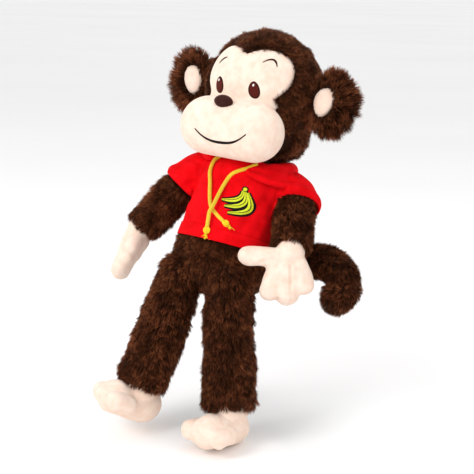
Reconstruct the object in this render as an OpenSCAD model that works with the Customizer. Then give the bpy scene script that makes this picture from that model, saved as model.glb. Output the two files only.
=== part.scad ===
// A sitting stuffed monkey in a hooded top. Millimetres, +Z up, the face looks along -Y.
// +X is the monkey's left. The origin is under the seat, on the flat face that the monkey sits on.
// The legs hang in front of that face.

/* [Torso] */
// Radius of the belly
belly_r = 50; // [47:1:52]
// Radius of the chest
chest_r = 41; // [39:1:43]
// Height of the chest's centre above the belly's centre
chest_rise = 66; // [62:1:68]
// How far the torso leans back, in degrees
lean_back = 20; // [16:1:22]
// How far the torso leans to the monkey's left, in degrees
lean_left = 6; // [4:1:7]

/* [Head] */
// Radius of the skull
skull_r = 58; // [56:1:60]
// Radius of the muzzle
muzzle_r = 30; // [28:1:31]
// Half of the straight width of the muzzle
muzzle_half = 27; // [24:1:28]
// Length of an ear, top to bottom
ear_len = 64; // [56:1:68]
// Width of an ear
ear_w = 46; // [40:1:50]

/* [Limbs] */
// Radius of an arm at the shoulder
arm_r = 17.5; // [16:0.5:18]
// Radius of an arm at the wrist
wrist_r = 16; // [15.5:0.5:17]
// Radius of a leg at the hip
hip_r = 20; // [18:1:21]
// Radius of a leg at the ankle
ankle_r = 23; // [22:1:24]
// Radius of the tail
tail_r = 14; // [12:1:15]

/* [Cloth] */
// Thickness of the fur cloth with its pile pressed flat
fur_t = 4; // [3:0.5:5]
// Thickness of the velour cloth
velour_t = 2; // [1.5:0.5:3]
// Thickness of the knitted cloth of the top
knit_t = 2.5; // [2:0.5:3]
// Diameter of a drawcord
cord_d = 4; // [3.6:0.1:4.4]

/* [Hidden] */

// Facets of a full turn
$fn = 72;
// Colours
fur = [0.20, 0.10, 0.06];
velour = [0.95, 0.82, 0.70];
knit = [0.88, 0.05, 0.07];
cord_yellow = [0.95, 0.80, 0.12];
thread_dark = [0.18, 0.07, 0.05];
thread_black = [0.05, 0.05, 0.04];
thread_green = [0.82, 0.88, 0.20];
stuffing_white = [0.94, 0.94, 0.92];
bag_cloth = [0.80, 0.80, 0.78];

// Gap between pieces of different bodies
gap = 0.8;
// Play between a cover and what it holds
play = 0.2;
// Points on the rounded end of a limb, and of a finger
end_steps = 14;
finger_steps = 6;

// Places on the torso, in the torso's own leaning frame
belly_z = 45;
chest_z = belly_z + chest_rise;
shoulder_x = 60;
shoulder_z = 118;
neck_at = [0, -5, 157];
head_at = [0, -14, 217];
// How the head is held, in degrees: looking up, tilted to the side, turned
head_back = 8;
head_tilt = 4;
head_turn = -5;

// The neck and the head's own places, seen from the head's centre
neck_r = 20;
face_depth = fur_t + 1;
lobe_x = 20;
lobe_z = 14;
lobe_r = 27;
cheek_x = 42;
cheek_z = -16;
muzzle_y = -54;
muzzle_z = -43;
nose_at = [0, -82, -18];
nose_r = 7;
eye_x = 19.5;
eye_z = -1;
eye_w = 11;
eye_l = 18;
brow_x = 27;
brow_z = 20;
brow_r = 9;
mouth_z = -16;
mouth_r = 41;
mouth_h = 13;
ear_t = 16;
ear_turn = 8;
function ear_at(side) = [side * (skull_r + 25), -2, side > 0 ? -5 : -3];

// The hooded top, in the torso's frame
hem_low = 50;
hem_h = 13;
neckline_z = 135;
casing_ring_r = 31;
casing_r = 4.5;
casing_z = 137;
hood_ring_r = 38;
hood_r = 9.5;
hood_z = 142;
hood_from = 0;
hood_to = 180;
sleeve_r = 22.5;
sleeve_len_left = 16;
sleeve_len_right = 22;
eyelet_r = 3;
eyelet_t = 2;
eyelet_set = 1.4;
// The patch's place on the front of the top, and its size
patch_x = 14;
patch_z = 92;
patch_grow = 1.5;
patch_t = 0.8;
patch_off = knit_t + 2 * play;
banana_r = 17;
banana_stem = [9, 12];
banana_turns = [-10, 12, 34];

// The seat's bag, the hands' and feet's round ends
bag_r = 17;
bag_at = [3, 16, 24];
hand_ball_r = 13;
foot_ball_r = 18;
cup_depth = 4;
knot_r = 3.8;
fray_len = 7;
fray_r = 2.4;
sole_drop = 18;
foot_len = 32;
heel_r = 17;
ball_of_foot_r = 16;
toe_r = 9;
toe_gap = 12;
toe_len = 14;

// Routes of the drawcords, from the eyelet to the knot, and of the tail, from its root to its tip
cord_route_right = [
    [-4, 19, 140.4], [-6, 15, 141], [-9, 10, 138], [-10, 5, 132], [-9, 0, 126], [-6, -5, 118],
    [-3, -11, 109], [0, -16, 100], [4, -20, 94], [9, -22, 90], [15, -24, 86], [20, -25, 83]
];
cord_route_left = [
    [34, 19, 136.4], [36, 15, 136.4], [34, 10, 135], [30, 6, 133], [24, 2, 131], [18, -1, 128], [14, -4, 123],
    [11, -11, 114], [9, -18, 105], [8, -24, 98], [6, -28, 92], [6, -31, 84], [6, -33, 77]
];
tail_route = [
    [11, 46, 15], [11.5, 49.5, 15], [12, 57, 15], [16, 69, 14], [28, 78, 15], [44, 82, 20],
    [62, 77, 26], [78, 66, 30], [93, 52, 34], [107, 42, 37], [120, 35, 35], [130, 29, 27],
    [133, 24, 16], [127, 20, 6], [124, 19, 2], [121, 18, -2]
];
// Share of the tail's radius at each end, from the outermost ring inwards
tail_taper_root = [0.45, 0.8];
tail_taper_tip = [0.5, 0.85];
tail_rings = len(tail_route);
function tail_share(k) =
    k < 2 ? tail_taper_root[k] : k > tail_rings - 3 ? tail_taper_tip[tail_rings - 1 - k] : 1;
tail_radii = [for (k = [0:tail_rings - 1]) tail_r * tail_share(k)];

tail_root = tail_route[2];

// Vectors from the shoulders to the wrists and from the hips to the ankles
upper_left = [17, -50, -46];
upper_right = [-48, -32, -61];
lower_left = [20, -34, -123];
lower_right = [-21, -46, -112];
hip_left = [28, -26, 22];
hip_right = [-27, -26, 22];

// Palm, fingers and thumb as rods: start and end across and along the hand, and the two radii
left_hand_rods = [
    [-6, 12, -3, 24, 13, 13], [-4, 8, -43, 4, 9, 8], [-11, 20, -19, 40, 10, 9],
    [-1, 20, -1, 44, 11, 10], [7, 16, 15, 34, 10, 9]
];
right_hand_rods = [
    [0, 12, 0, 26, 13, 12], [6, 10, 16, 20, 8, 7], [-7, 24, -8, 46, 9, 8],
    [0, 24, 0, 50, 10, 9], [7, 24, 8, 44, 9, 8]
];
// Directions across and along the palms, and where the toes point
left_across = [0.90, 0.43, 0.05];
left_along = [0.05, -0.20, -0.98];
right_across = [0.45, -0.86, 0.16];
right_along = [-0.34, -0.30, -0.89];
left_toes = [-0.20, -0.97, 0.10];
right_toes = [-0.50, -0.78, 0.38];

// A point of the upright torso after it leans back, then to the side
function lean_x(p) =
    [p.x, p.y * cos(lean_back) + p.z * sin(lean_back), p.z * cos(lean_back) - p.y * sin(lean_back)];
function lean_y(p) =
    [p.x * cos(lean_left) + p.z * sin(lean_left), p.y, p.z * cos(lean_left) - p.x * sin(lean_left)];
function leaned(p) = lean_y(lean_x(p));
function along(a, b, d) = a + (b - a) * (d / norm(b - a));

// Joint centres and ends of the limbs, side being 1 for the left and -1 for the right
function shoulder(side) = leaned([side * shoulder_x, 0, shoulder_z]);
function wrist(side) = shoulder(side) + (side > 0 ? upper_left : upper_right);
function hip(side) = side > 0 ? hip_left : hip_right;
function ankle(side) = hip(side) + (side > 0 ? lower_left : lower_right);

module in_torso() {
    rotate([-lean_back, lean_left, 0]) children();
}

module in_head() {
    translate(leaned(head_at)) rotate([-head_back, head_tilt, head_turn]) children();
}

// Half outline of a rod with round ends: radius ra at the bottom, rb at height d, n points on each end
function rod_outline(d, ra, rb, n) =
    let (lift = asin((ra - rb) / d))
    concat(
        [for (k = [0:n]) let (a = -90 + k * (90 + lift) / n) [ra * cos(a), ra * sin(a)]],
        [for (k = [0:n]) let (a = lift + k * (90 - lift) / n) [rb * cos(a), d + rb * sin(a)]]
    );

module aim(a, b) {
    v = b - a;
    translate(a) rotate([0, acos(v.z / norm(v)), atan2(v.y, v.x)]) children();
}

// Rod from point a to point b with round ends
module rod(a, b, ra, rb, n = end_steps) {
    aim(a, b) rotate_extrude() polygon([for (p = rod_outline(norm(b - a), ra, rb, n)) [max(p.x, 0), p.y]]);
}

// Sideways direction at ring k of a tube, carried along from the ring before so that the tube doesn't twist
function heading(route, k) = let (h = route[min(k + 1, len(route) - 1)] - route[max(k - 1, 0)]) h / norm(h);
function sideways(route, k) =
    let (h = heading(route, k))
    let (s = k == 0 ? cross(h, [0.3, 0.2, 0.9]) : sideways(route, k - 1))
    let (c = s - h * (s * h))
    c / norm(c);

// Tube along a route, closed at both ends, with one radius for each ring
module swept(route, radii, sides) {
    n = len(route);
    rings = [for (k = [0:n - 1], s = [0:sides - 1])
        let (a = 360 * s / sides, across = sideways(route, k), up = cross(across, heading(route, k)))
        route[k] + radii[k] * (cos(a) * across + sin(a) * up)];
    walls = [for (k = [0:n - 2], s = [0:sides - 1]) let (t = (s + 1) % sides)
        [k * sides + s, k * sides + t, (k + 1) * sides + t, (k + 1) * sides + s]];
    first = [for (s = [sides - 1:-1:0]) s];
    last = [for (s = [0:sides - 1]) (n - 1) * sides + s];
    polyhedron(points = rings, faces = concat(walls, [first, last]), convexity = 6);
}

// Pear of the torso, made smaller by t all round
module pear(t) {
    in_torso() rod([0, 0, belly_z], [0, 0, chest_z], belly_r - t, chest_r - t);
}

// The pear, cut flat where it rests on the seat
module seated_pear(t) {
    difference() {
        pear(t);
        translate([-150, -150, t - 300]) cube([300, 300, 300]);
    }
}

// Room in the torso for the top of a leg and its swing, larger by t
module leg_relief(side, t) {
    rod(hip(side), along(hip(side), ankle(side), 40), hip_r + gap + t, hip_r + gap + 3 + t);
}

// Room beside the torso for a sleeve as it swings: a ball and a flat cone
module arm_relief(side, t) {
    translate(shoulder(side)) {
        sphere(sleeve_r + gap + t);
        rotate([-lean_back, lean_left, 0]) rotate([0, side * 90, 0])
            translate([0, 0, -sleeve_r - 3 * gap - t]) cylinder(h = 16, r1 = 1, r2 = 55);
    }
}

// Hollows in the torso that the limbs' ends turn in, larger by t
module torso_sockets(t) {
    for (side = [-1, 1]) {
        leg_relief(side, t);
        arm_relief(side, t);
    }
    translate(leaned(neck_at)) sphere(neck_r + gap + t);
    translate(tail_root) sphere(tail_r + 3.25 * gap + t);
}

module torso_cavity(extra) {
    difference() {
        seated_pear(fur_t + extra);
        torso_sockets(fur_t + extra);
    }
}

module pellet_bag(extra) {
    translate(bag_at) sphere(bag_r + extra);
}

module torso_cover() {
    color(fur) difference() {
        seated_pear(0);
        torso_cavity(0);
        torso_sockets(0);
    }
}

module torso_stuffing() {
    color(stuffing_white) difference() {
        torso_cavity(play);
        pellet_bag(play);
    }
}

module seat_pellet_bag() {
    color(bag_cloth) pellet_bag(0);
}

module neck_stuffing() {
    color(fur) translate(leaned(neck_at)) sphere(neck_r);
}

// Skull ball with the neck's hollow under it, smaller by t
module skull(t) {
    difference() {
        in_head() sphere(skull_r - t);
        translate(leaned(neck_at)) sphere(neck_r + gap + t);
    }
}

module head_cover() {
    color(fur) difference() {
        skull(0);
        skull(fur_t);
        in_head() face_outline(skull_r - face_depth, skull_r + 20);
        in_head() muzzle_form(0);
    }
}

module head_stuffing() {
    color(stuffing_white) difference() {
        skull(fur_t + play);
        in_head() muzzle_form(play);
    }
}

// Outline of the face panel, seen from the front: two round lobes over a wide lower part
module face_shape() {
    for (side = [-1, 1]) translate([side * lobe_x, lobe_z]) circle(lobe_r);
    polygon([[-lobe_x, lobe_z], [0, lobe_z + 14], [lobe_x, lobe_z], [cheek_x, cheek_z], [-cheek_x, cheek_z]]);
}

// Part of a ball shell, between two radii, that lies behind the face panel's outline
module face_outline(r_in, r_out) {
    intersection() {
        difference() {
            sphere(r_out);
            sphere(r_in);
        }
        rotate([90, 0, 0]) linear_extrude(100) face_shape();
    }
}

module muzzle_form(t) {
    translate([0, muzzle_y, muzzle_z])
        rod([-muzzle_half, 0, 0], [muzzle_half, 0, 0], muzzle_r + t, muzzle_r + t);
}

module face_panel() {
    color(velour) in_head() difference() {
        face_outline(skull_r - fur_t, skull_r + 1);
        muzzle_form(play);
    }
}

module muzzle_cover() {
    color(velour) in_head() difference() {
        muzzle_form(0);
        muzzle_form(-velour_t);
        sphere(skull_r - fur_t);
    }
}

module muzzle_stuffing() {
    color(stuffing_white) in_head() difference() {
        muzzle_form(-velour_t - play);
        sphere(skull_r - fur_t - 2);
    }
}

module nose() {
    color(thread_dark) in_head() difference() {
        translate(nose_at) rod([-3, 0, 0], [3, 0, 0], nose_r, nose_r);
        muzzle_form(play);
        sphere(skull_r + 1 + play);
    }
}

// Thread that stands a little proud of the face panel, where a flat shape is pressed onto it
module on_face(thick) {
    intersection() {
        difference() {
            sphere(skull_r + 1.2 + thick);
            sphere(skull_r + 1.2);
        }
        rotate([90, 0, 0]) linear_extrude(100) children();
    }
}

module eye(side) {
    color(thread_dark) in_head() on_face(0.8) translate([side * eye_x, eye_z]) {
        translate([0, eye_l / 2 - eye_w / 2]) circle(eye_w / 2);
        translate([0, eye_w / 2 - eye_l / 2]) circle(eye_w / 2);
        square([eye_w, eye_l - eye_w], center = true);
    }
}

module brow(side) {
    color(thread_dark) in_head() on_face(0.8) translate([side * brow_x, brow_z]) intersection() {
        difference() {
            circle(brow_r);
            circle(brow_r - 2);
        }
        translate([-brow_r, brow_r * 0.45]) square([2 * brow_r, brow_r]);
    }
}

module mouth_stitch() {
    color(thread_dark) in_head() intersection() {
        difference() {
            muzzle_form(0.9);
            muzzle_form(0.1);
        }
        translate([0, muzzle_y, mouth_z]) rotate([90, 0, 0]) linear_extrude(60) intersection() {
            difference() {
                circle(mouth_r);
                circle(mouth_r - 2);
            }
            translate([-mouth_r, -mouth_r - 1]) square([2 * mouth_r, mouth_h]);
        }
    }
}

// Flat egg shape of an ear, grown by t, moved forward by y
module ear_form(side, w, h, t, y) {
    translate(ear_at(side)) rotate([0, 0, side * ear_turn]) translate([0, -y, 0])
        scale([w / 2, t / 2, h / 2]) sphere(1);
}

module ear(side) {
    color(fur) in_head() difference() {
        ear_form(side, ear_w, ear_len, ear_t, 0);
        sphere(skull_r + play);
    }
}

module ear_lining(side) {
    color(velour) in_head() difference() {
        ear_form(side, ear_w * 0.6, ear_len * 0.6, ear_t, 1.5);
        ear_form(side, ear_w, ear_len, ear_t + play, 0);
        sphere(skull_r + play);
    }
}

// Layer of the top over the torso, from height low to height high in the torso's frame
module worn(low, high, inside, outside) {
    intersection() {
        difference() {
            pear(-outside);
            pear(-inside);
        }
        in_torso() translate([0, 0, low]) cylinder(r = 90, h = high - low);
    }
}

module hoodie_body() {
    color(knit) difference() {
        worn(hem_low + hem_h, neckline_z, play, play + knit_t);
        torso_sockets(0);
    }
}

module hoodie_hem() {
    color(knit) difference() {
        worn(hem_low, hem_low + hem_h - play, play, play + knit_t + 1);
        torso_sockets(0);
    }
}

// Rounded roll around the neck, in the torso's frame, from one angle to another, 270 being the front
module neck_roll(ring_r, roll_r, z, from, to) {
    in_torso() translate([0, 0, z]) {
        rotate([0, 0, from]) rotate_extrude(angle = to - from) translate([ring_r, 0]) circle(roll_r);
        for (a = [from, to]) rotate([0, 0, a]) translate([ring_r, 0, 0]) sphere(roll_r - 0.05);
    }
}

module neck_casing() {
    color(knit) difference() {
        in_torso() translate([0, 0, casing_z])
            rotate_extrude() translate([casing_ring_r, 0]) circle(casing_r);
        pear(-play - knit_t - 0.1);
        neck_roll(hood_ring_r, hood_r + play, hood_z, hood_from, hood_to);
        eyelet_holes();
    }
}

module hood() {
    color(knit) difference() {
        neck_roll(hood_ring_r, hood_r, hood_z, hood_from, hood_to);
        pear(-play - knit_t - 0.1);
        torso_sockets(0);
    }
}

// Holes in the casing for the stitched rings that the drawcords come out of
module eyelet_holes() {
    for (route = [cord_route_left, cord_route_right])
        aim(route[0], route[1]) translate([0, 0, -eyelet_set - 4])
            cylinder(r = eyelet_r + play, h = eyelet_t + 6);
}

module cord_eyelets() {
    color(knit) difference() {
        for (route = [cord_route_left, cord_route_right])
            aim(route[0], route[1]) translate([0, 0, -eyelet_set]) difference() {
                cylinder(r = eyelet_r, h = eyelet_t);
                translate([0, 0, -1]) cylinder(r = cord_d / 2 + play, h = 2 * eyelet_t);
            }
        pear(-play - knit_t - 0.1);
    }
}

// Short sleeve round the top of an arm, open at its end
module sleeve(side) {
    from = shoulder(side);
    to = wrist(side);
    sleeve_len = side > 0 ? sleeve_len_left : sleeve_len_right;
    color(knit) difference() {
        rod(from, along(from, to, sleeve_len), sleeve_r, sleeve_r);
        rod(from, along(from, to, sleeve_len * 2), sleeve_r - knit_t, sleeve_r - knit_t);
        aim(from, to) translate([-60, -60, sleeve_len]) cube([120, 120, 100]);
    }
}

module drawcord(route) {
    color(cord_yellow) swept(route, [for (p = route) cord_d / 2], 8);
}

// Knot at the end of a drawcord, narrowing into the frayed end under it
module drawcord_knot(route) {
    last = route[len(route) - 1];
    before = route[len(route) - 2];
    out = (last - before) / norm(last - before);
    middle = last + out * (knot_r + play);
    color(cord_yellow) rod(middle, middle + out * fray_len, knot_r, fray_r);
}

// One banana, a crescent that hangs from its stem and curves to the left, grown by g
module banana(g) {
    difference() {
        translate([-banana_r, 0]) circle(banana_r + g);
        translate([-banana_r - 4, 4]) circle(banana_r - 0.5 - g);
        translate([-3 * banana_r, g]) square([6 * banana_r, 3 * banana_r]);
        translate([-banana_r * 3 - g, -banana_r * 2]) square([banana_r * 2, banana_r * 3]);
    }
}

module banana_bunch(g) {
    translate(banana_stem) for (turn = banana_turns) rotate(turn) banana(g);
    translate(banana_stem) circle(2 + g);
}

module on_top(inside, outside) {
    intersection() {
        difference() {
            pear(-outside);
            pear(-inside);
        }
        in_torso() translate([patch_x, 0, patch_z]) rotate([90, 0, 0]) linear_extrude(100) children();
    }
}

module patch_backing() {
    color(thread_black) on_top(patch_off, patch_off + patch_t) banana_bunch(patch_grow);
}

module patch_bananas() {
    color(thread_green) on_top(patch_off + patch_t + play, patch_off + 2 * patch_t + play) banana_bunch(0);
}

// Fur sleeve of a limb, smaller by t, with its far end cut flat and cupped for the ball of a hand or foot
module limb(from, to, r_from, r_to, ball_r, t) {
    difference() {
        rod(from, to, r_from - t, r_to - t);
        translate(to) sphere(ball_r + gap + t);
        aim(from, to) translate([-60, -60, norm(to - from) - cup_depth - t]) cube([120, 120, 100]);
    }
}

module limb_cover(from, to, r_from, r_to, ball_r) {
    color(fur) difference() {
        limb(from, to, r_from, r_to, ball_r, 0);
        limb(from, to, r_from, r_to, ball_r, fur_t);
    }
}

module arm(side) {
    limb_cover(shoulder(side), wrist(side), arm_r, wrist_r, hand_ball_r);
}

module arm_stuffing(side) {
    color(stuffing_white) limb(shoulder(side), wrist(side), arm_r, wrist_r, hand_ball_r, fur_t + play);
}

module leg(side) {
    limb_cover(hip(side), ankle(side), hip_r, ankle_r, foot_ball_r);
}

module leg_stuffing(side) {
    color(stuffing_white) limb(hip(side), ankle(side), hip_r, ankle_r, foot_ball_r, fur_t + play);
}

function hand_rods(side) = side > 0 ? left_hand_rods : right_hand_rods;

// Rod f of a hand, smaller by t
module finger(side, f, t) {
    across = side > 0 ? left_across : right_across;
    down = side > 0 ? left_along : right_along;
    from = wrist(side) + across * f[0] + down * f[1];
    to = wrist(side) + across * f[2] + down * f[3];
    rod(from, to, f[4] - t, f[5] - t, finger_steps);
}

module hand(side) {
    color(velour) difference() {
        union() {
            translate(wrist(side)) sphere(hand_ball_r);
            for (f = hand_rods(side)) finger(side, f, 0);
        }
        finger(side, hand_rods(side)[0], velour_t);
    }
}

module hand_stuffing(side) {
    color(stuffing_white) finger(side, hand_rods(side)[0], velour_t + play);
}

function toes(side) = side > 0 ? left_toes : right_toes;

// Heel and sole of a foot as one rod, smaller by t
module sole(side, t) {
    from = ankle(side) - [0, 0, sole_drop] - toes(side) * 4;
    to = from + toes(side) * (foot_len + 4) + [0, 0, 1];
    rod(from, to, heel_r - t, ball_of_foot_r - t, finger_steps);
}

// One of the four toes, counted from the middle of the foot
module toe(side, k) {
    across = cross(toes(side), [0, 0, 1]);
    reach = foot_len + 10 - abs(k) * 3;
    tip = ankle(side) - [0, 0, sole_drop] + toes(side) * reach + across * (k * toe_gap);
    rod(tip - toes(side) * toe_len, tip, toe_r - 1, toe_r, finger_steps);
}

module foot(side) {
    color(velour) difference() {
        union() {
            translate(ankle(side)) sphere(foot_ball_r);
            sole(side, 0);
            for (k = [-1.5:1:1.5]) toe(side, k);
        }
        sole(side, velour_t);
    }
}

module foot_stuffing(side) {
    color(stuffing_white) sole(side, velour_t + play);
}

module tail_cover() {
    color(fur) difference() {
        swept(tail_route, tail_radii, 16);
        tail_core(fur_t);
    }
}

// Inside of the tail, smaller by t, one ring shorter at each end
module tail_core(t) {
    inner = [1:tail_rings - 2];
    swept([for (k = inner) tail_route[k]], [for (k = inner) tail_radii[k] - t], 16);
}

module tail_stuffing() {
    color(stuffing_white) tail_core(fur_t + play);
}

torso_cover();
torso_stuffing();
seat_pellet_bag();
neck_stuffing();
head_cover();
head_stuffing();
face_panel();
muzzle_cover();
muzzle_stuffing();
nose();
eye(1);  // eye_left
eye(-1);  // eye_right
brow(1);  // brow_left
brow(-1);  // brow_right
mouth_stitch();
ear(1);  // ear_left
ear(-1);  // ear_right
ear_lining(1);  // ear_lining_left
ear_lining(-1);  // ear_lining_right
hoodie_body();
hoodie_hem();
hood();
neck_casing();
cord_eyelets();
sleeve(1);  // sleeve_left
sleeve(-1);  // sleeve_right
drawcord(cord_route_left);  // drawcord_left
drawcord(cord_route_right);  // drawcord_right
drawcord_knot(cord_route_left);  // drawcord_knot_left
drawcord_knot(cord_route_right);  // drawcord_knot_right
patch_backing();
patch_bananas();
arm(1);  // arm_left
arm(-1);  // arm_right
arm_stuffing(1);  // arm_stuffing_left
arm_stuffing(-1);  // arm_stuffing_right
hand(1);  // hand_left
hand(-1);  // hand_right
hand_stuffing(1);  // hand_stuffing_left
hand_stuffing(-1);  // hand_stuffing_right
leg(1);  // leg_left
leg(-1);  // leg_right
leg_stuffing(1);  // leg_stuffing_left
leg_stuffing(-1);  // leg_stuffing_right
foot(1);  // foot_left
foot(-1);  // foot_right
foot_stuffing(1);  // foot_stuffing_left
foot_stuffing(-1);  // foot_stuffing_right
tail_cover();
tail_stuffing();
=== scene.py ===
import math

import bmesh
import bpy
import numpy as np
from mathutils import Matrix, Vector, kdtree


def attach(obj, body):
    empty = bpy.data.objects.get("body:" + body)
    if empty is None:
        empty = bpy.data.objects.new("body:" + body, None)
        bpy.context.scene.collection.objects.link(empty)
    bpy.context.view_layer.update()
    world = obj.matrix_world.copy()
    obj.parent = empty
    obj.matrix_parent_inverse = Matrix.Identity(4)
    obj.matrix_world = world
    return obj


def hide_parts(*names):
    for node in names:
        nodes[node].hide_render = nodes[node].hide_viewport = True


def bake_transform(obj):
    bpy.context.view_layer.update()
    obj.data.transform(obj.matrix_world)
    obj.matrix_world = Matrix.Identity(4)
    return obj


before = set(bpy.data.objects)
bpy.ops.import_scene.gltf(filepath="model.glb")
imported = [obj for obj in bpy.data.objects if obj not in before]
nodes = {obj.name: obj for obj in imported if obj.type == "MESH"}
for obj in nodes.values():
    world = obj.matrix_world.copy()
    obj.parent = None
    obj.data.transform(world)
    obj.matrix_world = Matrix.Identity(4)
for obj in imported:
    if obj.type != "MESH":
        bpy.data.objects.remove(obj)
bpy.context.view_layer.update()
mm = 0.001

# Camera, light and floor
shot = {"target": (38.2, -30.0, 69.6), "turn": 26.18, "rise": 12.31, "roll": 1.16, "distance": 1168,
        "lens": 89.1}
turn, rise, roll = (math.radians(shot[k]) for k in ("turn", "rise", "roll"))
towards = Vector((math.sin(turn) * math.cos(rise), -math.cos(turn) * math.cos(rise), math.sin(rise)))
level = Vector((math.cos(turn), math.sin(turn), 0))
upward = towards.cross(level)
axisX = level * math.cos(roll) + upward * math.sin(roll)
axisY = upward * math.cos(roll) - level * math.sin(roll)
bpy.ops.object.camera_add()
camera = bpy.context.object
camera.name = "camera"
camera.data.lens = shot["lens"]
camera.data.clip_start = 0.05
camera.data.clip_end = 120
place = Matrix((axisX, axisY, towards)).transposed().to_4x4()
place.translation = (Vector(shot["target"]) + towards * shot["distance"]) * mm
camera.matrix_world = place
bpy.context.scene.camera = camera
bpy.context.scene.view_settings.view_transform = "Standard"
print("camera ready")


def only(ob):
    bpy.ops.object.select_all(action="DESELECT")
    ob.select_set(True)
    bpy.context.view_layer.objects.active = ob


def applied(ob, kind, **settings):  # adds a modifier and applies it at once
    only(ob)
    mod = ob.modifiers.new(kind.lower(), kind)
    for key, value in settings.items():
        setattr(mod, key, value)
    bpy.ops.object.modifier_apply(modifier=mod.name)


def settle(ob):  # puts the place into the mesh
    only(ob)
    bpy.ops.object.transform_apply(location=True, rotation=True, scale=True)


def smooth(ob):
    only(ob)
    bpy.ops.object.shade_smooth()


def placesOf(ob):
    co = np.empty(len(ob.data.vertices) * 3, np.float32)
    ob.data.vertices.foreach_get("co", co)
    return co.reshape(-1, 3).astype(float)


def normalsOf(ob):
    no = np.empty(len(ob.data.vertices) * 3, np.float32)
    ob.data.vertices.foreach_get("normal", no)
    return no.reshape(-1, 3).astype(float)


def moveTo(ob, co):
    ob.data.vertices.foreach_set("co", np.asarray(co, np.float32).ravel())
    ob.data.update()


def unit(v):
    return v / np.maximum(np.linalg.norm(v, axis=-1, keepdims=True), 1e-9)


def ripple(co, size, seed):  # smooth random field from -1 to 1, size is the width of a patch in metres
    rng = np.random.default_rng(seed)
    total = np.zeros(len(co))
    for k in range(9):
        way = unit(rng.normal(size=3)) * (2 * math.pi / size) * rng.uniform(0.6, 1.5)
        total += np.sin(co @ way + rng.uniform(0, 6.28))
    return total / 4.0


def nearLine(co, line):  # distance of each point from a line through several places
    best = np.full(len(co), 1e9)
    for a, b in zip(line[:-1], line[1:]):
        a, b = np.array(a), np.array(b)
        d = b - a
        t = np.clip(((co - a) @ d) / (d @ d), 0, 1)
        best = np.minimum(best, np.linalg.norm(co - a - t[:, None] * d, axis=1))
    return best


def crease(ob, line, depth,
           width):  # presses a groove into the cloth, or raises a fold where depth is negative
    co = placesOf(ob)
    d = nearLine(co, line)
    moveTo(ob, co - normalsOf(ob) * (depth * np.exp(-((d / width) ** 2)))[:, None])


# Places on the body, the same as in the part's source
torsoTurn = Matrix.Rotation(math.radians(6), 4, "Y") @ Matrix.Rotation(math.radians(-20), 4, "X")
headPlace = Matrix.Translation(torsoTurn @ Vector((0, -14, 217))) @ Matrix.Rotation(math.radians(-5), 4, "Z")
headPlace = headPlace @ Matrix.Rotation(math.radians(4), 4, "Y") @ Matrix.Rotation(math.radians(-8), 4, "X")
headMiddle = np.array(headPlace.translation) * mm


def onTorso(x, y, z):
    return torsoTurn @ Vector((x, y, z)) * mm


def onHead(x, y, z):
    return (headPlace @ Vector((x, y, z))) * mm


def inTorso(co):  # metres in the frame to millimetres in the leaning torso
    return co / mm @ np.array(torsoTurn.to_3x3())


def inHead(co):
    return (co / mm - np.array(headPlace.translation)) @ np.array(headPlace.to_3x3())


sides = {"left": 1, "right": -1}
shoulders = {name: onTorso(60 * side, 0, 118) for name, side in sides.items()}
wrists = {"left": shoulders["left"] + Vector((17, -50, -46)) * mm,
          "right": shoulders["right"] + Vector((-48, -32, -61)) * mm}
hips = {"left": Vector((28, -26, 22)) * mm, "right": Vector((-27, -26, 22)) * mm}
ankles = {"left": hips["left"] + Vector((20, -34, -123)) * mm,
          "right": hips["right"] + Vector((-21, -46, -112)) * mm}


# Materials
def newMaterial(name, roughness, sheen=0.0, tint=(1, 1, 1, 1)):
    mat = bpy.data.materials.new(name)
    mat.use_nodes = True
    shader = mat.node_tree.nodes["Principled BSDF"]
    shader.inputs["Roughness"].default_value = roughness
    shader.inputs["Sheen Weight"].default_value = sheen
    shader.inputs["Sheen Tint"].default_value = tint
    return mat, mat.node_tree, shader


def grain(tree, source, scale, detail=3, roughness=0.6, kind="ShaderNodeTexNoise"):
    node = tree.nodes.new(kind)
    node.inputs["Scale"].default_value = scale
    if kind == "ShaderNodeTexNoise":
        node.inputs["Detail"].default_value = detail
        node.inputs["Roughness"].default_value = roughness
    tree.links.new(source, node.inputs["Vector"])
    return node


def ramp(tree, source, stops):
    node = tree.nodes.new("ShaderNodeValToRGB")
    band = node.color_ramp
    while len(band.elements) < len(stops):
        band.elements.new(0.5)
    for element, (at, colour) in zip(band.elements, stops):
        element.position = at
        element.color = (*colour, 1)
    tree.links.new(source, node.inputs["Fac"])
    return node


def bump(tree, shader, source, strength, distance):
    node = tree.nodes.new("ShaderNodeBump")
    node.inputs["Strength"].default_value = strength
    node.inputs["Distance"].default_value = distance
    tree.links.new(source, node.inputs["Height"])
    tree.links.new(node.outputs["Normal"], shader.inputs["Normal"])
    return node


def ownPlaces(tree):
    return tree.nodes.new("ShaderNodeTexCoord").outputs["Object"]


def addUp(tree, a, b, share):
    node = tree.nodes.new("ShaderNodeMath")
    node.operation = "MULTIPLY_ADD"
    tree.links.new(b, node.inputs[0])
    node.inputs[1].default_value = share
    tree.links.new(a, node.inputs[2])
    return node.outputs[0]


def clothMaterial(name, dark, light, fine, patch, strength, depth, roughness, sheen, tint):
    mat, tree, shader = newMaterial(name, roughness, sheen, tint)
    shader.inputs["Specular IOR Level"].default_value = 0.08
    here = ownPlaces(tree)
    small = grain(tree, here, fine, 4, 0.7)
    wide = grain(tree, here, patch, 2)
    tone = addUp(tree, wide.outputs["Fac"], small.outputs["Fac"], 0.35)
    colours = ramp(tree, tone, [(0.45, dark), (0.85, light)])
    tree.links.new(colours.outputs["Color"], shader.inputs["Base Color"])
    bump(tree, shader, small.outputs["Fac"], strength, depth)
    return mat


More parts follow.
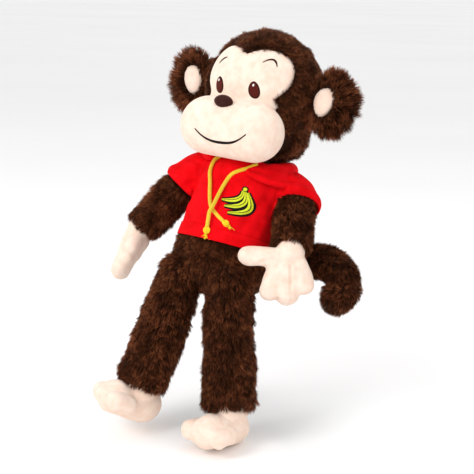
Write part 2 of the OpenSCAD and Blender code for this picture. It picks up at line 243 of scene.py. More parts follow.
velour = clothMaterial("cream velour", (0.88, 0.64, 0.51), (0.95, 0.77, 0.65), 1300, 110, 0.7, 0.0007, 0.9,
                       0.22, (1, 0.93, 0.88, 1))
knit = clothMaterial("red fleece knit", (0.66, 0.0008, 0.003), (0.88, 0.003, 0.008), 1900, 60, 0.6, 0.0007,
                     0.95, 0.03, (1, 0.1, 0.1, 1))
stuffing = clothMaterial("white stuffing", (0.70, 0.70, 0.68), (0.92, 0.92, 0.90), 400, 90, 0.8, 0.002, 1.0,
                         0.1, (1, 1, 1, 1))
pelletCloth = clothMaterial("pellet bag cloth", (0.55, 0.55, 0.52), (0.80, 0.80, 0.77), 900, 120, 0.6, 0.0008,
                            0.9, 0.0, (1, 1, 1, 1))
backing = clothMaterial("brown fur backing", (0.012, 0.004, 0.002), (0.035, 0.012, 0.006), 900, 60, 0.8,
                        0.001, 0.9, 0.1, (1, 0.6, 0.4, 1))


def furMaterial():
    mat, tree, shader = newMaterial("brown plush pile", 0.5, 0.06, (1.0, 0.45, 0.22, 1))
    shader.inputs["Specular IOR Level"].default_value = 0.16
    shader.inputs["Specular Tint"].default_value = (1.0, 0.62, 0.42, 1)
    pile = tree.nodes.new("ShaderNodeAttribute")
    pile.attribute_name = "pile"
    parts = tree.nodes.new("ShaderNodeSeparateColor")
    tree.links.new(pile.outputs["Color"], parts.inputs["Color"])
    # the ramp runs from near black at the root of each strand to light reddish brown at its tip: painted
    # shade deep in the pile and painted highlight on the tips
    colours = ramp(tree, parts.outputs["Red"], [(0.0, (0.008, 0.002, 0.001)), (0.3, (0.036, 0.009, 0.003)),
                                               (0.6, (0.14, 0.037, 0.013)), (1.0, (0.56, 0.19, 0.08))])
    tree.links.new(colours.outputs["Color"], shader.inputs["Base Color"])
    return mat


fur = furMaterial()


def threadMaterial(name, dark, light, pitch, turn, roughness, sheen=0.1):
    mat, tree, shader = newMaterial(name, roughness, sheen)
    shader.inputs["Specular IOR Level"].default_value = 0.08
    here = ownPlaces(tree)
    mapping = tree.nodes.new("ShaderNodeMapping")
    mapping.inputs["Rotation"].default_value = (0, math.radians(turn), 0)
    tree.links.new(here, mapping.inputs["Vector"])
    lines = tree.nodes.new("ShaderNodeTexWave")
    lines.inputs["Scale"].default_value = pitch
    lines.inputs["Distortion"].default_value = 1.5
    lines.inputs["Detail"].default_value = 1
    tree.links.new(mapping.outputs["Vector"], lines.inputs["Vector"])
    colours = ramp(tree, lines.outputs["Fac"], [(0.1, dark), (0.9, light)])
    tree.links.new(colours.outputs["Color"], shader.inputs["Base Color"])
    bump(tree, shader, lines.outputs["Fac"], 0.6, 0.0004)
    return mat


eyeThread = threadMaterial("reddish brown thread", (0.060, 0.007, 0.004), (0.125, 0.016, 0.009), 320, 20, 0.5,
                           0.0)
rimThread = threadMaterial("dark brown thread", (0.016, 0.004, 0.003), (0.040, 0.010, 0.006), 300, 60, 0.5,
                           0.0)
blackThread = threadMaterial("black thread", (0.004, 0.003, 0.003), (0.016, 0.012, 0.012), 300, 75, 0.5, 0.0)
whiteThread = threadMaterial("white thread", (0.75, 0.74, 0.72), (0.95, 0.95, 0.93), 320, 20, 0.5)
noseThread = threadMaterial("dark satin thread", (0.020, 0.004, 0.003), (0.055, 0.012, 0.008), 260, 90, 0.36,
                            0.0)
limeThread = threadMaterial("yellow green thread", (0.60, 0.70, 0.02), (0.84, 0.90, 0.05), 300, 50, 0.5, 0.0)


def cordMaterial():
    mat, tree, shader = newMaterial("yellow cord", 0.7, 0.2, (1, 0.9, 0.4, 1))
    uv = tree.nodes.new("ShaderNodeUVMap")
    mapping = tree.nodes.new("ShaderNodeMapping")
    mapping.inputs["Rotation"].default_value = (0, 0, math.radians(38))
    mapping.inputs["Scale"].default_value = (6, 46, 1)
    tree.links.new(uv.outputs["UV"], mapping.inputs["Vector"])
    strands = tree.nodes.new("ShaderNodeTexWave")
    strands.inputs["Scale"].default_value = 1.2
    strands.inputs["Distortion"].default_value = 0.6
    tree.links.new(mapping.outputs["Vector"], strands.inputs["Vector"])
    colours = ramp(tree, strands.outputs["Fac"], [(0.0, (0.74, 0.47, 0.008)), (1.0, (0.95, 0.74, 0.03))])
    tree.links.new(colours.outputs["Color"], shader.inputs["Base Color"])
    bump(tree, shader, strands.outputs["Fac"], 0.5, 0.0004)
    return mat


cordYellow = cordMaterial()
knotYellow = clothMaterial("yellow knot", (0.74, 0.45, 0.008), (0.96, 0.74, 0.03), 1600, 400, 0.8, 0.0006,
                           0.7, 0.2, (1, 0.9, 0.4, 1))


def dress(ob, mat, body, *replaced, slot=None):
    ob.data.materials.clear()
    ob.data.materials.append(mat)
    if body:
        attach(ob, body)
    if replaced:
        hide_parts(*replaced)
    return ob


# Drawcords
cords = {
    "right": {"route": [(-4, 19, 140.4), (-6, 15, 141), (-9, 10, 138), (-10, 5, 132), (-9, 0, 126),
                        (-6, -5, 118), (-3, -11, 109),
                        (0, -16, 100), (4, -20, 94), (9, -22, 90), (15, -24, 86), (20, -25, 83)],
              "length": 0.0865},
    "left": {"route": [(34, 19, 136.4), (36, 15, 136.4), (34, 10, 135), (30, 6, 133), (24, 2, 131),
                       (18, -1, 128), (14, -4, 123),
                       (11, -11, 114), (9, -18, 105), (8, -24, 98), (6, -28, 92), (6, -31, 84), (6, -33, 77)],
             "length": 0.0935},
    "width": 0.004,
}
knotSpec = {"radius": 3.6, "threads": 26}


def roundedRoute(points, steps=4):  # a smooth line through the points
    pts = [Vector(p) * mm for p in points]
    out = []
    for k in range(len(pts) - 1):
        p0, p1, p2, p3 = pts[max(k - 1, 0)], pts[k], pts[k + 1], pts[min(k + 2, len(pts) - 1)]
        for s in range(steps):
            t = s / steps
            out.append(0.5 * ((2 * p1) + (p2 - p0) * t + (2 * p0 - 5 * p1 + 4 * p2 - p3) * t * t
                              + (3 * p1 - p0 - 3 * p2 + p3) * t ** 3))
    out.append(pts[-1])
    return out


def makeTube(name, line, radius, mat):
    curve = bpy.data.curves.new(name, "CURVE")
    curve.dimensions = "3D"
    curve.bevel_depth = radius
    curve.bevel_resolution = 3
    curve.use_fill_caps = True
    spline = curve.splines.new("POLY")
    spline.points.add(len(line) - 1)
    for point, at in zip(spline.points, line):
        point.co = (*at, 1)
    ob = bpy.data.objects.new(name, curve)
    bpy.context.collection.objects.link(ob)
    only(ob)
    bpy.ops.object.convert(target="MESH")
    ob = bpy.context.object
    bpy.ops.object.mode_set(mode="EDIT")
    bpy.ops.mesh.select_all(action="SELECT")
    bpy.ops.mesh.remove_doubles(threshold=0.00001)
    bpy.ops.mesh.normals_make_consistent(inside=False)
    bpy.ops.object.mode_set(mode="OBJECT")
    smooth(ob)
    return ob


def makeKnot(side, line):
    end, way = line[-1], (line[-1] - line[-3]).normalized()
    middle = end + way * knotSpec["radius"] * mm * 0.9
    bpy.ops.object.select_all(action="DESELECT")
    bpy.ops.mesh.primitive_torus_add(location=middle, major_radius=2.1 * mm, minor_radius=1.75 * mm,
                                     major_segments=24, minor_segments=14,
                                     rotation=way.to_track_quat("X", "Z").to_euler())
    first = bpy.context.object
    bpy.ops.mesh.primitive_torus_add(location=middle + way * 0.8 * mm, major_radius=2.0 * mm,
                                     minor_radius=1.75 * mm, major_segments=24,
                                     minor_segments=14, rotation=way.to_track_quat("Y", "X").to_euler())
    second = bpy.context.object
    tail = [middle, middle + way * 4 * mm]
    core = makeTube("knot tail", tail, 1.7 * mm, knotYellow)
    rng = np.random.default_rng(7)
    hairs = []
    for k in range(knotSpec["threads"]):
        lean = Vector(rng.normal(size=3) * 0.34)
        start = middle + way * 3 * mm + Vector(rng.normal(size=3) * 0.55 * mm)
        hairs.append(makeTube("thread", [start, start + (way + lean * 0.4) * 2.4 * mm,
                                         start + (way + lean) * rng.uniform(3.6, 5.4) * mm], 0.28 * mm,
                              knotYellow))
    bpy.ops.object.select_all(action="DESELECT")
    for ob in [first, second, core, *hairs]:
        ob.select_set(True)
    bpy.context.view_layer.objects.active = first
    bpy.ops.object.join()
    knot = bpy.context.object
    knot.name = "cord_knot_" + side
    settle(knot)
    smooth(knot)
    return dress(knot, knotYellow, "torso", "drawcord_knot_" + side, slot="yellow_cord")


for side in sides:
    line = roundedRoute(cords[side]["route"])
    cordPiece = makeTube("cord_" + side, line, cords["width"] / 2, cordYellow)
    dress(cordPiece, cordYellow, "torso", "drawcord_" + side, slot="yellow_cord")
    knot = makeKnot(side, line)
print("cords ready")


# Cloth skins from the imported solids
def solidCopy(name, names, voxel, rounds):
    bm = bmesh.new()
    for n in names:
        bm.from_mesh(nodes[n].data)
    bmesh.ops.remove_doubles(bm, verts=bm.verts, dist=0.00002)
    mesh = bpy.data.meshes.new(name)
    bm.to_mesh(mesh)
    bm.free()
    ob = bpy.data.objects.new(name, mesh)
    bpy.context.collection.objects.link(ob)
    applied(ob, "REMESH", mode="VOXEL", voxel_size=voxel)
    keepLargest(ob)
    if rounds:
        applied(ob, "SMOOTH", factor=0.5, iterations=rounds)
    smooth(ob)
    return ob


def keepLargest(ob):  # drops the small closed bubbles between two layers
    bm = bmesh.new()
    bm.from_mesh(ob.data)
    bm.verts.ensure_lookup_table()
    seen, groups = set(), []
    for start in bm.verts:
        if start.index in seen:
            continue
        group, todo = [], [start]
        seen.add(start.index)
        while todo:
            v = todo.pop()
            group.append(v)
            for e in v.link_edges:
                w = e.other_vert(v)
                if w.index not in seen:
                    seen.add(w.index)
                    todo.append(w)
        groups.append(group)
    groups.sort(key=len)
    for group in groups[:-1]:
        bmesh.ops.delete(bm, geom=group, context="VERTS")
    bm.to_mesh(ob.data)
    bm.free()


# Fur pile: short curved strands, three sided, gathered in tufts
def growPile(name, skin, spec, keep, flow, body):
    mesh = skin.data
    mesh.calc_loop_triangles()
    count = len(mesh.loop_triangles)
    tris = np.empty(count * 3, np.int32)
    mesh.loop_triangles.foreach_get("vertices", tris)
    tris = tris.reshape(-1, 3)
    co, no = placesOf(skin), normalsOf(skin)
    a, b, c = co[tris[:, 0]], co[tris[:, 1]], co[tris[:, 2]]
    area = np.linalg.norm(np.cross(b - a, c - a), axis=1) / 2
    middle = (a + b + c) / 3
    area = area * keep(middle, unit(no[tris].sum(axis=1)))
    rng = np.random.default_rng(spec.get("seed", 1))
    total = int(area.sum() * 10000 * spec["perSquareCm"])
    total = min(total, 18500)
    pick = rng.choice(count, total, p=area / area.sum())
    u, v = rng.random(total), rng.random(total)
    flip = u + v > 1
    u[flip], v[flip] = 1 - u[flip], 1 - v[flip]
    w = (1 - u - v)[:, None]
    t = tris[pick]
    root = co[t[:, 0]] * w + co[t[:, 1]] * u[:, None] + co[t[:, 2]] * v[:, None]
    up = unit(no[t[:, 0]] * w + no[t[:, 1]] * u[:, None] + no[t[:, 2]] * v[:, None])
    way = flow(root, up)
    for k in range(3):  # swirls and stray hairs
        way[:, k] += spec["swirl"] * ripple(root, spec.get("patch", 0.018), 11 + k)
    way = unit(way - up * (way * up).sum(axis=1)[:, None])
    lift = spec["lift"] * (1 + 0.35 * ripple(root, 0.012, 21))[:, None]
    grown = unit(up * lift + way * (1 - lift) + rng.normal(size=(total, 3)) * spec["stray"])
    long = spec["length"] * mm * (1 + 0.16 * ripple(root, 0.02, 31)) * rng.uniform(0.72, 1.12, total)
    tip = root + grown * long[:, None]
    tufts = rng.choice(total, max(total // spec["tuft"], 1), replace=False)
    tree = kdtree.KDTree(len(tufts))
    for k, index in enumerate(tufts):
        tree.insert(root[index], k)
    tree.balance()
    nearest = np.array([tree.find(p)[1] for p in root])
    pull = spec["gather"] * rng.uniform(0.5, 1.0, total)[:, None]
    tip = tip * (1 - pull) + tip[tufts[nearest]] * pull
    if "floor" in spec:
        tip[:, 2] = np.maximum(tip[:, 2], spec["floor"] * mm)
    bend = root + (tip - root) * 0.48 + up * (long * spec.get("arch", 0.14))[:, None]
    if "floor" in spec:
        bend[:, 2] = np.maximum(bend[:, 2], spec["floor"] * mm)
    line = unit(tip - root)
    across = unit(np.cross(line, rng.normal(size=(total, 3))))
    other = np.cross(line, across)
    thick = spec["thick"] * mm * rng.uniform(0.75, 1.25, total)[:, None] / 2
    verts = np.empty((total, 7, 3))
    for k in range(3):
        turned = across * math.cos(k * 2.0944) + other * math.sin(k * 2.0944)
        verts[:, k] = root - up * 0.4 * mm + turned * thick
        verts[:, 3 + k] = bend + turned * thick * 0.85
    verts[:, 6] = tip
    first = (np.arange(total) * 7)[:, None]
    pattern = []
    for k in range(3):
        n = (k + 1) % 3
        pattern += [(k, n, 3 + n), (k, 3 + n, 3 + k), (3 + k, 3 + n, 6)]
    faces = (first[:, :, None] + np.array(pattern)[None]).reshape(-1, 3)
    piece = bpy.data.meshes.new(name)
    piece.vertices.add(total * 7)
    piece.vertices.foreach_set("co", verts.astype(np.float32).ravel())
    piece.loops.add(len(faces) * 3)
    piece.loops.foreach_set("vertex_index", faces.astype(np.int32).ravel())
    piece.polygons.add(len(faces))
    piece.polygons.foreach_set("loop_start", np.arange(0, len(faces) * 3, 3, dtype=np.int32))
    piece.polygons.foreach_set("use_smooth", np.ones(len(faces), bool))
    piece.update(calc_edges=True)
    tone = 0.5 + 0.30 * ripple(root, 0.026, 41) + rng.normal(size=total) * 0.2
    tuftTone = rng.normal(size=len(tufts))[nearest] * 0.2
    tone = np.clip(tone + tuftTone, 0.05, 1.0)
    # share makes each strand near black at its root and lightest at its tip: painted shade deep in the pile
    # and painted highlight on the tips; tone and tuftTone are random differences between strands and tufts
    share = np.array([0.05, 0.05, 0.05, 0.45, 0.45, 0.45, 1.0])
    red = np.clip(share[None, :] * (0.35 + 0.75 * tone[:, None]), 0, 1)
    colour = np.ones((total, 7, 4), np.float32)
    colour[:, :, 0] = red
    colour[:, :, 1] = tone[:, None]
    layer = piece.attributes.new("pile", "FLOAT_COLOR", "POINT")
    layer.data.foreach_set("color", colour.ravel())
    ob = bpy.data.objects.new(name, piece)
    bpy.context.collection.objects.link(ob)
    dress(ob, fur, body, slot="brown_fur")
    print(name, total, "strands", len(faces), "triangles")
    return ob


def alongLimb(a, b):  # fur lies down a limb
    way = np.array(b - a)
    return lambda co, up: np.tile(way / np.linalg.norm(way), (len(co), 1))


def always(co, up):
    return np.ones(len(co))


def addBall(at, radius):
    bpy.ops.object.select_all(action="DESELECT")
    bpy.ops.mesh.primitive_uv_sphere_add(radius=radius * mm, location=at, segments=48, ring_count=32)
    return bpy.context.object


def hullOf(parts, name):
    bpy.ops.object.select_all(action="DESELECT")
    for ob in parts:
        ob.select_set(True)
    bpy.context.view_layer.objects.active = parts[0]
    bpy.ops.object.join()
    ob = bpy.context.object
    ob.name = name
    settle(ob)
    bpy.ops.object.mode_set(mode="EDIT")
    bpy.ops.mesh.select_all(action="SELECT")
    bpy.ops.mesh.convex_hull()
    bpy.ops.object.mode_set(mode="OBJECT")
    return ob


def joined(parts, name):
    bpy.ops.object.select_all(action="DESELECT")
    for ob in parts:
        ob.select_set(True)
    bpy.context.view_layer.objects.active = parts[0]
    bpy.ops.object.join()
    ob = bpy.context.object
    ob.name = name
    settle(ob)
    return ob


# Legs and arms
legPile = {"perSquareCm": 150, "length": 9.5, "lift": 0.42, "stray": 0.16, "swirl": 0.38, "tuft": 16,
           "gather": 0.45, "thick": 0.62, "seed": 3}
for side in sides:
    leg = solidCopy("leg_cloth_" + side, ["leg_" + side, "leg_stuffing_" + side], 2.6 * mm, 4)
    body = "leg_" + side
    co = placesOf(leg)
    moveTo(leg, co + normalsOf(leg) * (ripple(co, 0.05, 51) * 1.2 * mm)[:, None])
    dress(leg, backing, body, "leg_" + side, slot="brown_fur")
    growPile("leg_pile_" + side, leg, legPile, always, alongLimb(hips[side], ankles[side]), body)

armPile = {"perSquareCm": 150, "length": 9.0, "lift": 0.45, "stray": 0.16, "swirl": 0.35, "tuft": 16,
           "gather": 0.42, "thick": 0.6, "seed": 4}
for side in sides:
    arm = solidCopy("arm_cloth_" + side, ["arm_" + side, "arm_stuffing_" + side], 2.4 * mm, 4)
    shoulder, wrist = np.array(shoulders[side]), np.array(wrists[side])
    way = (wrist - shoulder) / np.linalg.norm(wrist - shoulder)

    bare = {"left": 0.013, "right": 0.019}[side]

    def belowSleeve(co, up):
        return ((co - shoulder) @ way > bare).astype(float)

    dress(arm, backing, "arm_" + side, "arm_" + side, slot="brown_fur")
    growPile("arm_pile_" + side, arm, armPile, belowSleeve, alongLimb(shoulders[side], wrists[side]),
             "arm_" + side)
print("limbs ready")

# Torso
bellyPile = {"perSquareCm": 150, "length": 9.0, "lift": 0.42, "stray": 0.17, "swirl": 0.45, "tuft": 16,
             "gather": 0.45, "thick": 0.62, "seed": 5, "floor": 0.4}
belly = solidCopy("torso_cloth", ["torso_cover", "torso_stuffing"], 2.6 * mm, 3)
def sagOf(at):  # the belly sags over the legs in front
    return 5.0 * np.exp(-(((at[:, 2] - 22) / 14) ** 2)) * np.clip((-at[:, 1] - 18) / 24, 0,
                                                                  1) * np.exp(-((at[:, 0] / 40) ** 4))


co = placesOf(belly)
moveTo(belly, co + normalsOf(belly) * (sagOf(inTorso(co)) * mm)[:, None])
dress(belly, backing, "torso", "torso_cover", slot="brown_fur")


def bareBelly(front):
    def keep(co, up):
        at = inTorso(co)
        shown = (at[:, 2] < 51) & (at[:, 1] < 0 if front else at[:, 1] >= 0)
        for side in sides:
            way = (ankles[side] - hips[side]).normalized()
            shown &= (nearLine(co, [hips[side], hips[side] + way * 0.05]) > 0.0215) | (sagOf(at) > 2.2)
        shown &= nearLine(co, [Vector((12, 57, 15)) * mm, Vector((16, 69, 14)) * mm]) > 0.0172
        return shown.astype(float) * np.where(up[:, 2] < -0.9, 0.35, 1.0)
    return keep


def downBelly(co, up):
    way = np.tile(np.array([0.0, 0.0, -1.0]), (len(co), 1))
    way[:, 0] += co[:, 0] * 6
    return way


growPile("belly_pile_front", belly, bellyPile, bareBelly(True), downBelly, "torso")
growPile("belly_pile_back", belly, bellyPile, bareBelly(False), downBelly, "torso")
print("torso ready")

# Tail
tailPile = {"perSquareCm": 150, "length": 9.0, "lift": 0.5, "stray": 0.18, "swirl": 0.35, "tuft": 15,
            "gather": 0.42, "thick": 0.6, "seed": 6}
tailLine = np.array([(12, 57, 15), (16, 69, 14), (28, 78, 15), (44, 82, 20), (62, 77, 26), (78, 66, 30),
                     (93, 52, 34), (107, 42, 37),
                     (120, 35, 35), (130, 29, 27), (133, 24, 16), (127, 20, 6), (124, 19, 2),
                     (121, 18, -2)]) * mm
tail = solidCopy("tail_cloth", ["tail_cover", "tail_stuffing"], 2.6 * mm, 6)
dress(tail, backing, "tail", "tail_cover", slot="brown_fur")


def alongTail(co, up):
    gaps = np.linalg.norm(co[:, None] - tailLine[None], axis=2)
    nearest = np.clip(gaps.argmin(axis=1), 0, len(tailLine) - 2)
    return unit(tailLine[nearest + 1] - tailLine[nearest])


growPile("tail_pile", tail, tailPile, always, alongTail, "tail")
print("tail ready")

# Head: skin, pile in three sewn panels
headPile = {"perSquareCm": 160, "length": 6.8, "lift": 0.46, "stray": 0.17, "swirl": 0.5, "tuft": 14,
            "gather": 0.42, "thick": 0.55, "seed": 8}
head = solidCopy("head_cloth", ["head_cover"], 2.0 * mm, 2)
dress(head, backing, "head", "head_cover", slot="brown_fur")


def headPanel(which):
    def keep(co, up):
        at = inHead(co)
        radius = np.linalg.norm(at, axis=1)
        outside = (radius > 56) & ((at * (up @ np.array(headPlace.to_3x3()))).sum(axis=1) > 0)
        middleBand = np.abs(at[:, 0]) < 24
        panel = middleBand if which == "crown" else (~middleBand & ((at[:, 0] > 0) == (which == "left")))
        return (outside & panel).astype(float)
    return keep


def backOverHead(co, up):  # away from the face and down
    at = inHead(co)
    way = np.stack([at[:, 0] * 0.01, np.full(len(at), 0.75), np.full(len(at), -0.55)], axis=1)
    return way @ np.array(headPlace.to_3x3()).T


nape = hullOf([addBall(onHead(22, 8, -41), 27.5), addBall(onHead(-22, 8, -41), 27.5)], "nape_cloth")
applied(nape, "REMESH", mode="VOXEL", voxel_size=2.4 * mm)
smooth(nape)
dress(nape, backing, "head", slot="brown_fur")
growPile("nape_pile", nape, headPile | {"perSquareCm": 130, "length": 7.5},
         lambda co, up: ((inHead(co)[:, 1] > -8) & (inHead(co)[:, 2] < -14)).astype(float), backOverHead,
         "head")
for which in ("left", "right", "crown"):
    growPile("head_pile_" + which, head, headPile | {"length": 8.2 if which == "crown" else 7.2},
             headPanel(which), backOverHead, "head")

# Face: velour panel and muzzle, one soft surface with a shallow seam
faceSpec = {"voxel": 1.7, "rounds": 10}
face = solidCopy("face_cloth", ["face_panel", "muzzle_cover", "muzzle_stuffing", "head_stuffing"],
                 faceSpec["voxel"] * mm, faceSpec["rounds"])
dress(face, velour, "head", "face_panel", "muzzle_cover", slot="cream_velour")
print("head ready")

# The hooded top: one cut shell for the body, short sleeves, hem band, hood and neck roll
top = {"belly": 55.0, "chest": 46.2, "hem": 49.5, "band": 13, "neck": 138, "cloth": 2.0, "voxel": 2.0,
       "rounds": 9, "armhole": 45}
sleeveSpec = {"left": {"reach": 13, "way": (0.32, -0.55, -0.70), "from": 22.5, "to": 22.5,
                       "shift": (3, 2, -1)},
              "right": {"reach": 20, "way": (-0.60, -0.34, -0.72), "from": 23, "to": 25,
                        "shift": (-1, 0, -1)}}


armCut = {"tube": 31, "beyond": 50, "above": 85,
          "outside": 55.5}  # where a sleeve end may be cut, in millimetres


def cutCloth(ob, at, normal, chosen=None,
             clear=True):  # cuts the chosen faces along a plane and drops what lies beyond it
    only(ob)
    bpy.ops.object.mode_set(mode="EDIT")
    bpy.ops.mesh.select_mode(type="FACE")
    bpy.ops.mesh.select_all(action="SELECT" if chosen is None else "DESELECT")
    if chosen is not None:
        bpy.ops.object.mode_set(mode="OBJECT")
        flags = chosen(np.array([f.center for f in ob.data.polygons]))
        ob.data.polygons.foreach_set("select", flags)
        bpy.ops.object.mode_set(mode="EDIT")
    bpy.ops.mesh.bisect(plane_co=at, plane_no=normal, clear_outer=clear)
    bpy.ops.object.mode_set(mode="OBJECT")


def takeOff(ob, chosen, name):  # the chosen faces become a piece of their own
    only(ob)
    bpy.ops.object.mode_set(mode="EDIT")
    bpy.ops.mesh.select_mode(type="FACE")
    bpy.ops.mesh.select_all(action="DESELECT")
    bpy.ops.object.mode_set(mode="OBJECT")
    ob.data.polygons.foreach_set("select", chosen(np.array([f.center for f in ob.data.polygons])))
    bpy.ops.object.mode_set(mode="EDIT")
    bpy.ops.mesh.separate(type="SELECTED")
    bpy.ops.object.mode_set(mode="OBJECT")
    part = [o for o in bpy.context.selected_objects if o != ob][0]
    part.name = name
    return part


shell = hullOf([addBall(onTorso(0, 0, 45), top["belly"]), addBall(onTorso(0, 0, 111), top["chest"])],
               "hoodie_body_cloth")
parts = [shell]
for side, sign in sides.items():
    spec = sleeveSpec[side]
    way = Vector(spec["way"]).normalized()
    inner = onTorso(sign * 34, 0, 117)
    outer = shoulders[side] + (way * (spec["reach"] + 14) + Vector(spec["shift"])) * mm
    upper = hullOf([addBall(inner, spec["from"]), addBall(shoulders[side] + Vector((-sign * 3, 0, 0)) * mm,
                                                          spec["from"] - 1)], "sleeve")
    lower = hullOf([addBall(shoulders[side] + Vector((-sign * 3, 0, 0)) * mm, spec["from"] - 1),
                    addBall(outer, spec["to"])], "sleeve end")
    parts += [upper, lower]
shell = joined(parts, "hoodie_body_cloth")
applied(shell, "REMESH", mode="VOXEL", voxel_size=top["voxel"] * mm)
applied(shell, "SMOOTH", factor=0.5, iterations=top["rounds"])
folds = [  # across the front and back of the top: line, depth and width in millimetres
    ([(-44, -22, 108), (-30, -38, 92), (-16, -46, 80)], 1.6, 5),
         ([(-47, -12, 100), (-42, -28, 78), (-34, -38, 62)], -1.6, 7),
    ([(40, -26, 106), (33, -38, 88), (30, -44, 72)], 1.9, 5),
         ([(46, -14, 100), (46, -24, 82), (44, -30, 66)], -1.8, 6),
    ([(-38, -26, 128), (-28, -38, 116), (-14, -46, 106)], 1.3, 5),
         ([(26, -40, 112), (12, -46, 100), (2, -48, 90)], 1.0, 6),
    ([(-50, 6, 90), (-50, -8, 74), (-48, -16, 60)], 1.8, 6), ([(49, 6, 88), (50, 2, 72), (50, -6, 58)], 1.8,
                                                              6),
    ([(-40, 24, 100), (-22, 44, 84), (0, 50, 74)], 1.8, 6), ([(40, 24, 96), (24, 44, 78), (8, 52, 66)], 1.8,
                                                             6),
    ([(0, 44, 116), (-4, 50, 92), (-2, 53, 64)], 1.2, 7), ([(-62, -14, 132), (-56, -20, 118),
                                                            (-50, -20, 104)], 1.5, 4),
    ([(60, -18, 130), (54, -22, 116), (48, -22, 104)], 1.5, 4),
         ([(-60, 10, 134), (-54, 18, 118), (-48, 20, 102)], 1.5, 4),
    ([(60, 12, 132), (54, 18, 116), (48, 20, 102)], 1.5, 4), ([(-20, -50, 62), (0, -53, 66), (22, -49, 62)],
                                                              -0.9, 7),
]
for line, depth, width in folds:
    crease(shell, [onTorso(*p) for p in line], depth * mm, width * mm)
co = placesOf(shell)
at = inTorso(co)
reach = np.abs(at[:, 0])
high = at[:, 2] > 84
angle = np.arctan2(at[:, 1], at[:, 2] - 117)
puff = 1.6 * np.exp(-(((reach - 58) / 7) ** 2)) - 2.0 * np.exp(-(((reach - 46) / 2.6) ** 2))
puff += 1.7 * np.sin(angle * 11 + at[:, 0] * 0.05) * np.exp(-(((reach - 53) / 6) ** 2))
for side in sides:  # the cuff is turned in
    way = np.array((wrists[side] - shoulders[side]).normalized())
    along = (co - np.array(shoulders[side])) @ way / mm - sleeveSpec[side]["reach"]
    near = np.linalg.norm(co - np.array(shoulders[side]), axis=1) < 0.045
    puff += np.where(near & (reach > 48),
                     1.8 * np.exp(-(((along + 7) / 5) ** 2)) - 1.8 * np.exp(-((along / 2.2) ** 2)), 0)
moveTo(shell, co + normalsOf(shell) * ((ripple(co, 0.045, 61) * 0.9 + np.where(high, puff, 0)) * mm)[:, None])
upTorso = (torsoTurn @ Vector((0, 0, 1))).normalized()
outTorso = (torsoTurn @ Vector((1, 0, 0))).normalized()
cutCloth(shell, onTorso(0, 0, top["hem"]), -upTorso)
cutCloth(shell, onTorso(0, 0, top["neck"]), upTorso, lambda c: np.hypot(*inTorso(c)[:, :2].T) < 42)
for side, sign in sides.items():
    spec = sleeveSpec[side]
    way = (wrists[side] - shoulders[side]).normalized()
    tube = Vector(spec["way"]).normalized()
    armLine = [shoulders[side] + Vector(spec["shift"]) * mm,
               shoulders[side] + (tube * 50 + Vector(spec["shift"])) * mm]

    def onSleeve(c):  # the tube round the arm, not the side of the body under it
        at = inTorso(c)
        aside = (at[:, 2] > armCut["above"]) | (np.hypot(at[:, 0], at[:, 1]) > armCut["outside"])
        return (nearLine(c, armLine) < armCut["tube"] * mm) & (sign * at[:, 0] > armCut["beyond"]) & aside

    cutCloth(shell, shoulders[side] + way * spec["reach"] * mm, way, onSleeve)
    cutCloth(shell, onTorso(sign * top["armhole"], 0, 118), outTorso, clear=False)
cutCloth(shell, onTorso(0, 0, top["hem"] + top["band"]), upTorso, clear=False)
bpy.ops.object.select_all(action="DESELECT")
sleeves = {}
for side, sign in sides.items():
    sleeves[side] = takeOff(shell, lambda c,
                            s=sign: (s * inTorso(c)[:, 0] > top["armhole"]) & (inTorso(c)[:, 2] > 84),
                            "sleeve_cloth_" + side)
band = takeOff(shell, lambda c: inTorso(c)[:, 2] < top["hem"] + top["band"], "hem_band")
keepLargest(shell)
for ob, thick in ((shell, top["cloth"]), (band, top["cloth"] + 0.9), (sleeves["left"], top["cloth"]),
                  (sleeves["right"], top["cloth"])):
    keepLargest(ob)
    if ob == band:
        moveTo(band, placesOf(band) + normalsOf(band) * 0.9 * mm)
    applied(ob, "SOLIDIFY", thickness=thick * mm, offset=-1)
    smooth(ob)
dress(shell, knit, "torso", "hoodie_body", slot="red_knit")
dress(band, knit, "torso", "hoodie_hem", slot="red_knit")
for side, sign in sides.items():
    dress(sleeves[side], knit, None, "sleeve_" + side, slot="red_knit")
    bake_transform(sleeves[side])


def makeRoll(name, rows, voxel, rounds, extra=()):  # a soft roll of cloth through balls of different sizes
    parts = list(extra)
    for row in rows:
        for (a, b) in zip(row[:-1], row[1:]):
            parts.append(hullOf([addBall(onTorso(*a[:3]), a[3]), addBall(onTorso(*b[:3]), b[3])], "roll"))
    ob = joined(parts, name)
    applied(ob, "REMESH", mode="VOXEL", voxel_size=voxel * mm)
    applied(ob, "SMOOTH", factor=0.5, iterations=rounds)
    smooth(ob)
    return ob


hoodRows = [
    [(-31, -31, 136, 5), (-41, -19, 139, 7.5), (-45, 2, 143, 8.5), (-34, 26, 145, 10), (0, 40, 146, 12),
     (34, 26, 144, 10), (43, 2, 141, 8.5),
     (38, -18, 136, 7), (23, -35, 130, 5)],
    [(18, -41.5, 126, 2.6), (26, -41, 123.5, 3.4), (37, -36, 121.5, 3.8), (47, -28, 121.5, 4),
     (56, -17, 124, 4.2), (57, -2, 127, 5), (44, 22, 128, 8),
     (24, 38, 127, 10), (0, 44, 124, 12), (-24, 38, 128, 9), (-40, 20, 133, 8)],
    [(18, -38, 130, 3), (30, -33, 130, 4.5), (42, -22, 131, 6), (50, -6, 133, 7), (46, 14, 135, 8),
     (36, 30, 137, 9)],
    [(30, -36, 126, 3.2), (44, -25, 127, 4.2), (53, -9, 130, 5.5), (48, 10, 132, 7)],
]
bpy.ops.object.select_all(action="DESELECT")
pouch = addBall(onTorso(0, 46, 112), 10)
pouch.scale = (3.1, 0.85, 2.6)
pouch.rotation_euler = (math.radians(-20), math.radians(6), 0)
settle(pouch)
hood = makeRoll("hood_cloth", hoodRows, 1.8, 8, [pouch])
